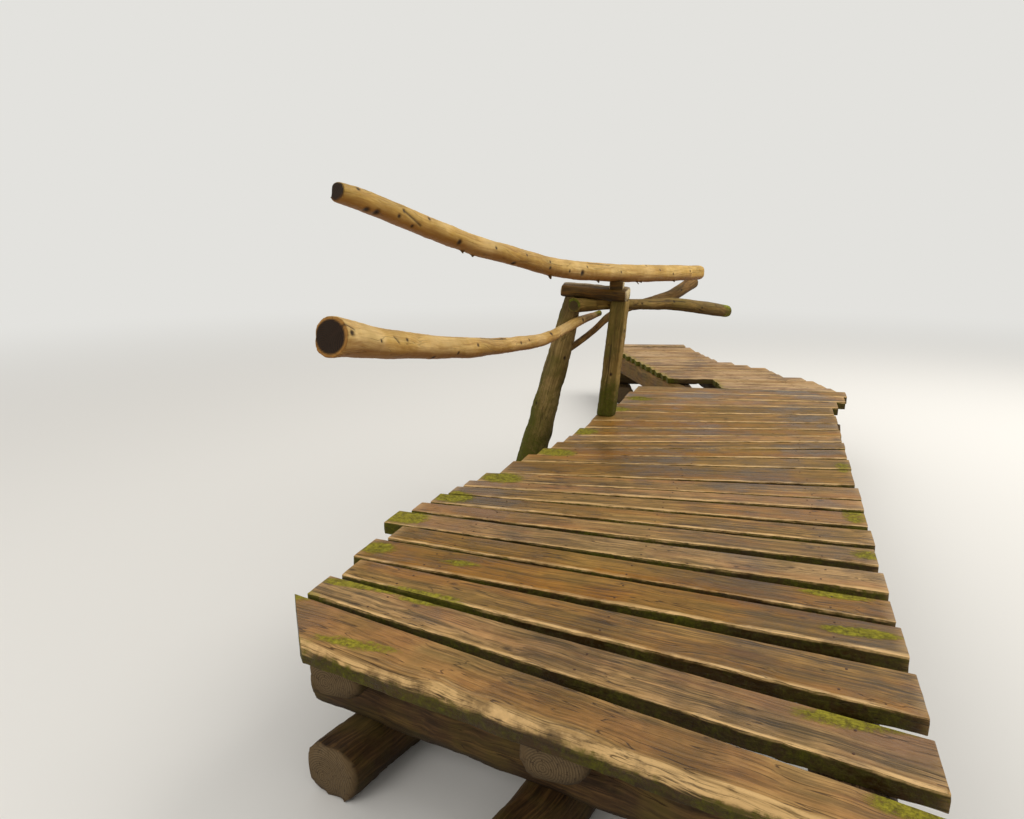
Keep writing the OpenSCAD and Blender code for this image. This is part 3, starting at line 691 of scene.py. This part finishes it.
def nails_on(pieces, stringers, lines, name, seed):
    chance = random.Random(seed)
    skin = np.concatenate([points_of(piece) for piece in pieces])
    skin = skin[skin[:, 2] > deck_top - 0.015]
    points, faces = [], []
    for _, along, across, at_left, at_right in lines:
        for stringer in stringers:
            start, stop = centre_line(stringer, None)
            for t in np.linspace(0.01, 0.99, 400):
                spot = start + t * (stop - start)
                u, v = Vector(spot).dot(along), Vector(spot).dot(across)
                if not at_left[0][0] + end_margin < u < at_right[0][0] - end_margin:
                    continue
                share = (u - at_left[0][0]) / (at_right[0][0] - at_left[0][0])
                near = at_left[0][1] + share * (at_right[0][1] - at_left[0][1])
                far = at_left[-1][1] + share * (at_right[-1][1] - at_left[-1][1])
                if abs(v - 0.5 * (near + far)) < on_line:
                    break
            else:
                continue
            for reach in (-nail_apart, nail_apart):
                v = 0.5 * (near + far) + (far - near) * reach
                x = along.x * u + across.x * v + chance.uniform(-nudge_x, nudge_x)
                y = along.y * u + across.y * v + chance.uniform(-nudge_y, nudge_y)
                z = skin[np.argmin(np.hypot(skin[:, 0] - x, skin[:, 1] - y)), 2]
                faces += [[k + len(points) for k in face] for face in head_faces]
                points += [tuple(p + np.array([x, y, z - head_sunk])) for p in head_points]
    mesh = bpy.data.meshes.new(name)
    mesh.from_pydata(points, [], faces)
    piece = alone(placed(name, mesh))
    bpy.ops.object.shade_smooth_by_angle(angle=math.radians(40))
    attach(piece, "root")
    print(name, len(faces) // len(head_faces))
    return piece


near_lines = [line for line in board_lines if not line[0].startswith(("far_", "tree_"))]
far_lines = [line for line in board_lines if line[0].startswith(("far_", "tree_"))]
near_nails = nails_on(near_boards, [bearers["left_stringer"], bearers["middle_stringer"],
                                    bearers["right_stringer"]], near_lines, "near_nails", 11)
far_nails = nails_on(far_boards, [bearers["far_stringer"], bearers["side_stringer"], edge_beam],
                     far_lines, "far_nails", 12)

# %% [markdown]
# ## Finishes
#
# Colours are written as the hex values that a paint program shows, and one function turns them into
# the linear values that the shader works with. Another small function adds a node and fills its
# sockets, by name or in a list from the top. Each gets a number, an output of another node, or a
# node, which means its first output. A colour ramp's stops are its first, its last and any between.

# %% Colour and node helpers
def paint(code):
    parts = [int(code[i:i + 2], 16) / 255 for i in (1, 3, 5)]
    return (*[p / 12.92 if p <= 0.04045 else ((p + 0.055) / 1.055) ** 2.4 for p in parts], 1)


def add(tree, kind, sockets=(), stops=(), **settings):
    node = tree.nodes.new("ShaderNode" + kind)
    for name, value in settings.items():
        setattr(node, name, value)
    for count, (position, code) in enumerate(stops):
        ramp = node.color_ramp.elements
        stop = ramp[count] if count < 2 else ramp.new(position)
        stop.position, stop.color = position, paint(code)
    named = sockets if isinstance(sockets, dict) else dict(enumerate(sockets))
    for name, value in named.items():
        if isinstance(value, bpy.types.Node):
            value = value.outputs[0]
        if isinstance(value, bpy.types.NodeSocket):
            tree.links.new(value, node.inputs[name])
        else:
            node.inputs[name].default_value = value
    return node


# %% [markdown]
# ## One recipe for old timber
#
# Real timber shows several things at once: fibres a few millimetres apart, broad bands where the saw
# crossed the growth rings, golden and grey stains, wet patches, cracks along the grain, pale worn
# arrises, dark sides, partly damp and partly painted shade, and moss. Most are noise textures, and
# those that belong to the wood are stretched along its grain. Their colours are laid over one another
# like glazes. In the functions below, `wood` holds the patterns that all layers share and `look` the
# finish's own values. A Map Range's list is its value, from, to, and what these two become (0 and 1
# where they aren't given).

# %% Patterns that the layers share
from types import SimpleNamespace


def streaks(tree, grain, along, across, start=(0, 0, 0), **sockets):
    """Noise stretched along the grain, with so many humps a metre along it and across it."""
    net = add(tree, "Mapping", {"Vector": grain, "Location": start, "Scale": (along, across, across)})
    return add(tree, "TexNoise", {"Vector": net, "Scale": 1.0, **sockets})


def timber_patterns(tree, look):
    wood = SimpleNamespace()
    straight = add(tree, "Attribute", attribute_name="grain").outputs["Vector"]
    # the fibres never run quite straight: a slow noise pushes them up to 20 mm sideways
    sway = add(tree, "TexNoise", {"Vector": straight, "Scale": 3.0, "Detail": 2.0}).outputs["Color"]
    wood.grain = add(tree, "VectorMath", [sway, (0, 0.06, 0.06), straight],
                     operation="MULTIPLY_ADD")
    for stored, marks in (("place", ("edge", "moss", "tone")), ("spots", ("knot", "pale", "outer"))):
        vector = add(tree, "Attribute", attribute_name=stored).outputs["Vector"]
        for mark, output in zip(marks, add(tree, "SeparateXYZ", [vector]).outputs):
            setattr(wood, mark, output)
    wood.facing = add(tree, "SeparateXYZ", [add(tree, "NewGeometry").outputs["Normal"]]).outputs[2]
    wood.fibres = streaks(tree, wood.grain, 4, 1000 / look.fibre_mm, Detail=5.0, Roughness=0.66)
    wood.broken = add(tree, "MapRange", [wood.fibres, 0.36, 0.5, 0.3])
    wood.bands = streaks(tree, wood.grain, 0.9, 1000 / look.band_mm, Detail=3.0, Distortion=0.9)
    # patterns that ignore the grain: humps a metre, detail and roughness
    spot = add(tree, "TexCoord").outputs["Object"]
    for pattern, humps, detail, rough in (
            ("patches", 2.6, 4, 0.6), ("clouds", 5.5, 5, 0.65), ("clumps", 14, 3, 0.5),
            ("tufts", 60, 5, 0.7), ("grit", 90, 3, 0.5)):
        setattr(wood, pattern, add(tree, "TexNoise", {"Vector": spot, "Scale": humps, "Detail": detail,
                                                      "Roughness": rough}))
    return wood


# %% [markdown]
# Under all the marks lies the wood's own colour: dark to light streaks, stained golden where water
# ran along the grain and grey where it dries, and darker in wet patches. Each timber also has a tone
# of its own, so that no two neighbours match.

# %% The wood's own colour
def stained_wood(tree, wood, look):
    streak = add(tree, "Math", [wood.fibres, 0.55], operation="MULTIPLY")
    streak = add(tree, "Math", [wood.bands, 0.45, streak], operation="MULTIPLY_ADD")
    colour = add(tree, "ValToRGB", [streak], stops=[
        (0.5 - look.contrast, look.dark), (0.5 + look.contrast, look.light), (0.5, look.mid)])
    wet_runs = streaks(tree, wood.grain, 0.8, 9, Detail=3.0, Roughness=0.55)
    for pattern, share, stain_and_shadow in ((wet_runs, look.gold_share, look.gold),
                                  (wood.patches, look.grey_share, look.grey)):
        amount = add(tree, "MapRange", [pattern, 0.46, 0.62, 0.0, share])
        colour = add(tree, "Mix", {0: amount, 6: colour, 7: paint(stain_and_shadow)}, data_type="RGBA").outputs[2]
    half_swing, soaked_value = look.tone_swing / 2, 0.52 if look.sawn else 0.86
    value = add(tree, "MapRange", [wood.tone, 0.0, 1.0, 1 - half_swing, 1 + half_swing])
    soaked = add(tree, "MapRange", [wood.patches, 0.38, 0.56, soaked_value, 1.1])
    value = add(tree, "Math", [value, soaked], operation="MULTIPLY")
    depth = add(tree, "MapRange", [wood.tone, 0.0, 1.0, 1.08, 0.88])
    return add(tree, "HueSaturation", {"Color": colour, "Value": value, "Saturation": depth})


# %% [markdown]
# Feet wear a board's near arris pale and ragged. Its sides and underside get painted shade in the dark
# colour of damp wood, darker the less they face up. A log shows growth rings and a rim of sapwood on
# its sawn end, and its underside gets painted shade, partly the colour of damp wood. Each function
# gives back its layers in order, as shares and colours.

# %% Worn places, and painted shade on sides and undersides
def board_wear(tree, wood, look):
    """On a board `knot` and `pale` say how far behind the near arris and below the deck a point is."""
    frayed = add(tree, "MapRange", [wood.bands, 0.35, 0.65, -0.35, 0.5])
    inward = add(tree, "Math", [wood.knot, frayed], operation="ADD")
    inward = add(tree, "MapRange", [inward, 0.45, 1.15, 1.0, 0.0])
    downward = add(tree, "Math", [frayed, 0.6, wood.pale], operation="MULTIPLY_ADD")
    downward = add(tree, "MapRange", [downward, 0.7, 1.1, 1.0, 0.0])
    kept = add(tree, "MapRange", [wood.clouds, 0.38, 0.52, 0.35])
    for share in (downward, kept):
        inward = add(tree, "Math", [inward, share], operation="MULTIPLY")
    worn = add(tree, "Math", [wood.edge, inward], operation="MAXIMUM")
    worn = add(tree, "Math", [worn, wood.broken], operation="MULTIPLY")
    # painted shade: sides and underside darken the less they face up, partly as damp wood
    shade = add(tree, "MapRange", [wood.facing, 0.8, 0.35, 0.0, look.side_dark])
    below = add(tree, "MapRange", [worn, 0.15, 0.7, 1.0, 0.1])
    shade = add(tree, "Math", [shade, below], operation="MULTIPLY")
    return [(worn, look.worn), (shade, look.damp)]


def log_wear(tree, wood, look):
    flat = add(tree, "Mapping", {"Vector": wood.grain, "Scale": (0, 1, 1)})
    rings = add(tree, "TexWave", {"Vector": flat, "Scale": 40.0, "Distortion": 1.5, "Detail": 1.0},
                wave_type="RINGS", rings_direction="X").outputs[1]
    rings = add(tree, "Math", [rings, wood.edge], operation="MULTIPLY")
    rings = add(tree, "Math", [rings, look.ring_share], operation="MULTIPLY")
    pale = add(tree, "Math", [wood.pale, wood.broken], operation="MULTIPLY")
    pale = add(tree, "Math", [pale, wood.outer], operation="MAXIMUM")
    # painted shade: the underside darkens the more it faces down, partly as damp wood
    shade = add(tree, "MapRange", [wood.facing, 0.1, -0.7, 0.0, look.side_dark])
    return [(wood.edge, look.worn), (rings, look.damp), (pale, look.rim), (shade, look.damp)]


# %% [markdown]
# Drying opens thin cracks along the grain: lines where a stretched noise crosses its middle value.
# The poles have modelled knots. A board has one in every eighth cell of a cell pattern 0.2 m long.

# %% Cracks and knots
def cracks_and_knots(tree, wood, look):
    """The cracks alone, for the relief, and the darkness of cracks and knots together."""
    wander = streaks(tree, wood.grain, 1.6, 1000 / look.crack_mm, Detail=1.0)
    middle = add(tree, "Math", [wander, 0.5], operation="SUBTRACT")
    middle = add(tree, "Math", [middle], operation="ABSOLUTE")
    thin = add(tree, "MapRange", [middle, 0.004, 0.014, 1.0, 0.0])
    some = add(tree, "MapRange", [wood.bands, 0.46, 0.54])
    crack, knot = add(tree, "Math", [thin, some], operation="MULTIPLY"), wood.knot
    if look.sawn:
        net = add(tree, "Mapping", {"Vector": wood.grain, "Scale": (5, 8, 0)})
        cells = add(tree, "TexVoronoi", {"Vector": net, "Scale": 1.0}, voronoi_dimensions="2D")
        chosen = add(tree, "SeparateXYZ", [cells.outputs["Color"]])
        chosen = add(tree, "Math", [chosen, 0.88], operation="GREATER_THAN")
        heart = add(tree, "MapRange", [cells, 0.03, 0.12, 0.7, 0.0])
        knot = add(tree, "Math", [heart, chosen], operation="MULTIPLY")
    dark = add(tree, "Math", [crack, look.crack_share], operation="MULTIPLY")
    return crack, add(tree, "Math", [dark, knot], operation="MAXIMUM")


# %% [markdown]
# Moss grows on the marked places and on damp sides, in tufts about 15 mm across in clumps about 70 mm
# across. It is ragged at its edges, and on upright faces it gets painted shade, a darker green.

# %% Moss
def moss_cover(tree, wood, look):
    """How much moss there is, and its colour."""
    level = add(tree, "Math", [wood.facing], operation="ABSOLUTE")
    upright = add(tree, "MapRange", [level, 0.8, 0.3, 0.0, look.side_moss])
    upright = add(tree, "Math", [upright, wood.patches], operation="MULTIPLY")
    moss = add(tree, "Math", [wood.moss, upright], operation="ADD")
    ragged = add(tree, "MapRange", [wood.tufts, 0.3, 0.7, 0.45, 1.55], clamp=False)
    ragged = add(tree, "Math", [wood.clumps, 1.8, ragged], operation="MULTIPLY_ADD")
    ragged = add(tree, "Math", [ragged, 0.55], operation="MULTIPLY")
    moss = add(tree, "Math", [moss, ragged], operation="MULTIPLY")
    moss = add(tree, "MapRange", [moss, 0.28, 0.60, 0.0, 0.9])
    green = add(tree, "ValToRGB", [wood.tufts], stops=[(0.36, "#57520f"), (0.68, look.moss_light)])
    # painted shade: moss on upright faces is mixed towards a dark green
    moss_shade = add(tree, "MapRange", [level, 0.3, 0.9, 0.8, 0.0])
    green = add(tree, "Mix", {0: moss_shade, 6: green, 7: paint("#3a3c08")}, data_type="RGBA").outputs[2]
    return moss, green


# %% [markdown]
# The layers are laid over the wood's own colour: an olive film of algae in clouds, veins of the hard
# late wood, then wear and painted shade, cracks and moss. The same patterns make the relief and the
# gloss: wet patches shine, and moss doesn't.

# %% The whole finish
usual_look = dict(
    fibre_mm=8, band_mm=30, crack_mm=26, wet_rough=0.6, dry_rough=0.8, side_moss=0.0, grey_share=0.4,
    gold_share=0.3, sawn=False, tone_swing=0.3, moss_light="#a8a02a", contrast=0.1, algae_share=0.35,
    algae="#5d5218", crack_share=0.75, ring_share=0.45)


def timber_finish(name, **own_look):
    finish = bpy.data.materials.new(name)
    tree = empty_tree(finish)
    look = SimpleNamespace(**{**usual_look, **own_look})
    wood = timber_patterns(tree, look)
    colour = stained_wood(tree, wood, look)
    film = add(tree, "MapRange", [wood.clouds, 0.42, 0.62, 0.0, look.algae_share])
    veins = streaks(tree, wood.grain, 2.2, 550 / look.fibre_mm, (3.0, 5.0, 2.0), Detail=2.0)
    veins = add(tree, "MapRange", [veins, 0.34, 0.46, 0.42, 0.0])
    wear = (board_wear if look.sawn else log_wear)(tree, wood, look)
    crack, dark = cracks_and_knots(tree, wood, look)
    moss, green = moss_cover(tree, wood, look)
    # wear holds the worn colour and the painted shade of sides and undersides
    layers = [(film, look.algae), (veins, look.dark), *wear, (dark, "#2a190a")]
    for share, over in [(share, paint(code)) for share, code in layers] + [(moss, green)]:
        colour = add(tree, "Mix", {0: share, 6: colour, 7: over}, data_type="RGBA").outputs[2]

    rough = add(tree, "MapRange", [wood.patches, 0.38, 0.6, look.wet_rough, look.dry_rough])
    rough = add(tree, "Mix", {0: moss, 2: rough, 3: 0.95})
    fluff = add(tree, "Math", [moss, wood.tufts], operation="MULTIPLY")
    height = wood.fibres
    for pattern, share in ((wood.bands, 0.8), (wood.grit, 0.25), (veins, -0.5), (crack, -0.9),
                           (fluff, 3.0)):
        height = add(tree, "Math", [pattern, share, height], operation="MULTIPLY_ADD")
    bump = add(tree, "Bump", {"Height": height, "Strength": 0.85, "Distance": look.relief_mm / 1000})
    shader = add(tree, "BsdfPrincipled", {"Base Color": colour, "Roughness": rough, "IOR": 1.45,
                                          "Specular IOR Level": 0.22, "Normal": bump})
    add(tree, "OutputMaterial", {"Surface": shader})
    return finish


def empty_tree(owner):
    owner.use_nodes = True
    owner.node_tree.nodes.clear()
    return owner.node_tree


def dress(pieces, finish):
    for piece in pieces:
        piece.data.materials.clear()
        piece.data.materials.append(finish)
    print(finish.name, "on", ", ".join(piece.name for piece in pieces))


# %% [markdown]
# ## The deck's finishes
#
# The near boards are rough-sawn cedar, soaked brown and golden, with a damp gloss in places; the far
# ones lie drier, paler and greyer.

# %% Finishes of the boards
# damp is the colour of the painted shade on the boards' sides and undersides
wet_cedar = timber_finish(
    "wet rough-sawn cedar", light="#be8f48", mid="#8f6a2d", dark="#3c290b", gold="#b1742a",
    grey="#8c754a", worn="#dcb478", damp="#2c1e08", algae="#5c4816", fibre_mm=7, band_mm=34,
    relief_mm=3.0, wet_rough=0.28, dry_rough=0.66, side_dark=0.9, side_moss=0.8, gold_share=0.66,
    sawn=True, tone_swing=0.4, algae_share=0.4)
dry_cedar = timber_finish(
    "dry grey rough-sawn cedar", light="#cba571", mid="#a57c4a", dark="#684524", gold="#a8783a",
    grey="#b39874", worn="#cfae7c", damp="#3d2c10", fibre_mm=9, band_mm=45, crack_mm=34, relief_mm=2.6,
    wet_rough=0.5, dry_rough=0.75, side_dark=0.85, side_moss=0.6, grey_share=0.5, sawn=True,
    algae_share=0.2)
dress(near_boards, wet_cedar)
dress(far_boards, dry_cedar)

# %% [markdown]
# ## The poles' finishes
#
# The two long rails are peeled and glow like honey, pale on top and reddish below, where painted
# shade in the colour of their reddish inner bark darkens the underside; their dark sawn ends lie in a
# light ring of sapwood. The short rail is duller and green with moss, and the brace is greyer.

# %% Finishes of the poles
# damp here is the reddish painted shade under the rails, partly their inner bark
peeled_spruce = timber_finish(
    "peeled spruce", light="#e8c67c", mid="#d0a65a", dark="#a27638", gold="#d0a54e", grey="#dec492",
    worn="#150c03", damp="#7e5020", rim="#9c6f34", algae="#9a7c36", crack_mm=34, relief_mm=1.8,
    wet_rough=0.5, dry_rough=0.68, side_dark=0.85, grey_share=0.45, gold_share=0.35, contrast=0.14,
    crack_share=0.28, ring_share=0.1)
mossy_spruce = timber_finish(
    "mossy spruce", light="#ab8c50", mid="#836532", dark="#503b18", gold="#876830", grey="#8c7a52",
    worn="#4a3f16", damp="#3c290c", rim="#7a6a2a", moss_light="#b6bc3a", algae="#6e6228",
    relief_mm=2.2, side_dark=0.75, grey_share=0.3, algae_share=0.45)
grey_spruce = timber_finish(
    "weathered spruce pole", light="#a07a48", mid="#7c5a30", dark="#4e3618", gold="#84602a",
    grey="#957e58", worn="#4a3620", damp="#3a270e", rim="#97734a", band_mm=26, crack_mm=24,
    relief_mm=2.0, side_dark=0.75, gold_share=0.2)
dress([upper_rail, lower_rail], peeled_spruce)
dress([middle_rail], mossy_spruce)
dress([brace_pole], grey_spruce)

# %% [markdown]
# ## Posts, cap, logs and beam
#
# The posts are olive brown with algae and finely cracked. The cap and the logs under the deck are
# almost black with damp, and only the cap's split face and sawn end are pale.

# %% Finishes of the posts and the logs
# rim: the sapwood rim on sawn ends, and the painted light on the upright post's right face
old_post = timber_finish(
    "algae-stained cedar post", light="#9e8044", mid="#765c28", dark="#3f2f0c", gold="#7a6222",
    grey="#867244", worn="#5a4420", damp="#37290a", rim="#b0904e", moss_light="#8a8a24",
    algae="#5a511c", fibre_mm=9, band_mm=24, crack_mm=22, relief_mm=3.6, wet_rough=0.65,
    dry_rough=0.85, side_dark=0.5, side_moss=0.35, grey_share=0.35, gold_share=0.45, contrast=0.14,
    algae_share=0.78, crack_share=0.5)
split_log = timber_finish(
    "split cedar log", light="#664212", mid="#422907", dark="#241402", gold="#5c3a10", grey="#5a442a",
    worn="#e4cc96", damp="#180e03", rim="#94805f", moss_light="#c0ae2c", fibre_mm=7, band_mm=20,
    crack_mm=20, relief_mm=2.6, wet_rough=0.45, dry_rough=0.7, side_dark=0.6, grey_share=0.2,
    algae_share=0.2)
dark_log = timber_finish(
    "damp spruce log", light="#6a4f30", mid="#4a3520", dark="#2c1e10", gold="#553c1e", grey="#5d4c36",
    worn="#6a573c", damp="#1d1409", rim="#5d4a30", fibre_mm=9, band_mm=24, crack_mm=24, relief_mm=3.0,
    wet_rough=0.65, dry_rough=0.85, side_dark=0.7, side_moss=0.25, gold_share=0.2)
hewn_beam = timber_finish(
    "hewn spruce beam", light="#8d6a3a", mid="#684a22", dark="#402b10", gold="#75531f", grey="#7c6642",
    worn="#7d6440", damp="#33240c", rim="#8d6a3a", relief_mm=2.4, side_dark=0.4, side_moss=0.3)
dress([upright_post, leaning_post, small_prop], old_post)
dress([cap_log, rail_chock], split_log)
dress(list(bearers.values()), dark_log)
dress([edge_beam], hewn_beam)

# %% [markdown]
# ## Nail iron
#
# Wire nails that have rusted for years are nearly black, with orange-brown bloom. Rust is not a metal
# any more, so the metallic value is low and the surface rough.

# %% Finish of the nails
rusty_iron = bpy.data.materials.new("rusted wire nail")
tree = empty_tree(rusty_iron)
bloom = add(tree, "TexNoise", {"Vector": add(tree, "TexCoord").outputs["Object"], "Scale": 400.0,
                               "Detail": 3.0})
rust = add(tree, "ValToRGB", [bloom], stops=[(0.4, "#2a1a10"), (0.65, "#5e3a20")])
bump = add(tree, "Bump", {"Height": bloom, "Strength": 0.6, "Distance": 0.0004})
shader = add(tree, "BsdfPrincipled", {"Base Color": rust, "Metallic": 0.2, "Roughness": 0.7,
                                      "Normal": bump})
add(tree, "OutputMaterial", {"Surface": shader})
dress([near_nails], rusty_iron)
dress([far_nails], rusty_iron)

# %% [markdown]
# ## Camera, floor and light
#
# The camera stands where the photographer stood: to the right of the walk's middle line, 1.25 m above
# the deck, looking forward and a little left and down. The light is that of an overcast day: a pale
# sky all round, one large soft lamp high on the right behind the bridge and a weak one in front.

# %% Camera
photo_width, focal_pixels = 1024, 800
looks_down, looks_left = 12.65, 18  # degrees
camera_data = bpy.data.cameras.new("camera")
camera_data.sensor_width = 36
camera_data.lens = focal_pixels / photo_width * camera_data.sensor_width
camera = placed("camera", camera_data)
camera.location = (0.540, -2.100, 1.830)
camera.rotation_euler = (math.radians(90 - looks_down), 0, math.radians(looks_left))
bpy.context.scene.camera = camera
print("lens:", camera_data.lens, "mm")

# %% [markdown]
# The floor is one plain pale sheet. Far from the bridge it fades into the colour of the backdrop, for
# the camera only, so that no hard horizon shows, while near the bridge it keeps the soft shadow.

# %% Floor
backdrop = paint("#e3e2de")
fade_start, fade_end = 4.0, 16.0  # metres from the bridge's middle
bpy.ops.object.select_all(action="DESELECT")
bpy.ops.mesh.primitive_plane_add(size=160, location=(0, 20, -0.001))
floor = bpy.context.view_layer.objects.active
floor.name = "floor"
pale_floor = bpy.data.materials.new("pale floor")
tree = empty_tree(pale_floor)
spot = add(tree, "TexCoord").outputs["Object"]
# the bridge's middle lies 17.5 m nearer than the sheet's own middle
reach = add(tree, "VectorMath", [spot, (0, -17.5, 0)], operation="DISTANCE").outputs["Value"]
fade = add(tree, "MapRange", [reach, fade_start, fade_end], interpolation_type="SMOOTHSTEP")
seen = add(tree, "LightPath").outputs["Is Camera Ray"]
fade = add(tree, "Math", [fade, seen], operation="MULTIPLY")
sheet = add(tree, "BsdfPrincipled", {"Base Color": paint("#e7e5e0"), "Roughness": 0.9})
glow = add(tree, "Emission", {"Color": backdrop, "Strength": 1.0})
mixed = add(tree, "MixShader", [fade, sheet, glow])
add(tree, "OutputMaterial", {"Surface": mixed})
floor.data.materials.append(pale_floor)
print("floor:", floor.dimensions.x, "m wide")

# %% Sky and lamps
sky = bpy.data.worlds.new("overcast")
bpy.context.scene.world = sky
tree = empty_tree(sky)
seen = add(tree, "LightPath").outputs["Is Camera Ray"]
light = add(tree, "Background", {"Color": (1.0, 0.985, 0.96, 1), "Strength": 0.70})
shown = add(tree, "Background", {"Color": backdrop, "Strength": 1.0})
mixed = add(tree, "MixShader", [seen, light, shown])
add(tree, "OutputWorld", {"Surface": mixed})


def lamp(name, place, target, size, watts, colour):
    """A soft round lamp; place, target and size in metres."""
    data = bpy.data.lights.new(name, "AREA")
    data.shape = "DISK"
    data.size = size
    data.energy = watts
    data.color = colour
    made = placed(name, data)
    made.location = place
    made.rotation_euler = (Vector(target) - Vector(place)).to_track_quat("-Z", "Y").to_euler()
    print(name, watts, "W")


lamp("high_lamp", (4.5, 6.5, 7.0), (-0.2, 2.6, 0.8), 7.0, 400, (1.0, 0.97, 0.92))
lamp("front_lamp", (-3.0, -5.0, 4.5), (0, 1.5, 0.6), 4.0, 110, (1.0, 0.98, 0.95))
bpy.context.scene.view_settings.view_transform = "Standard"
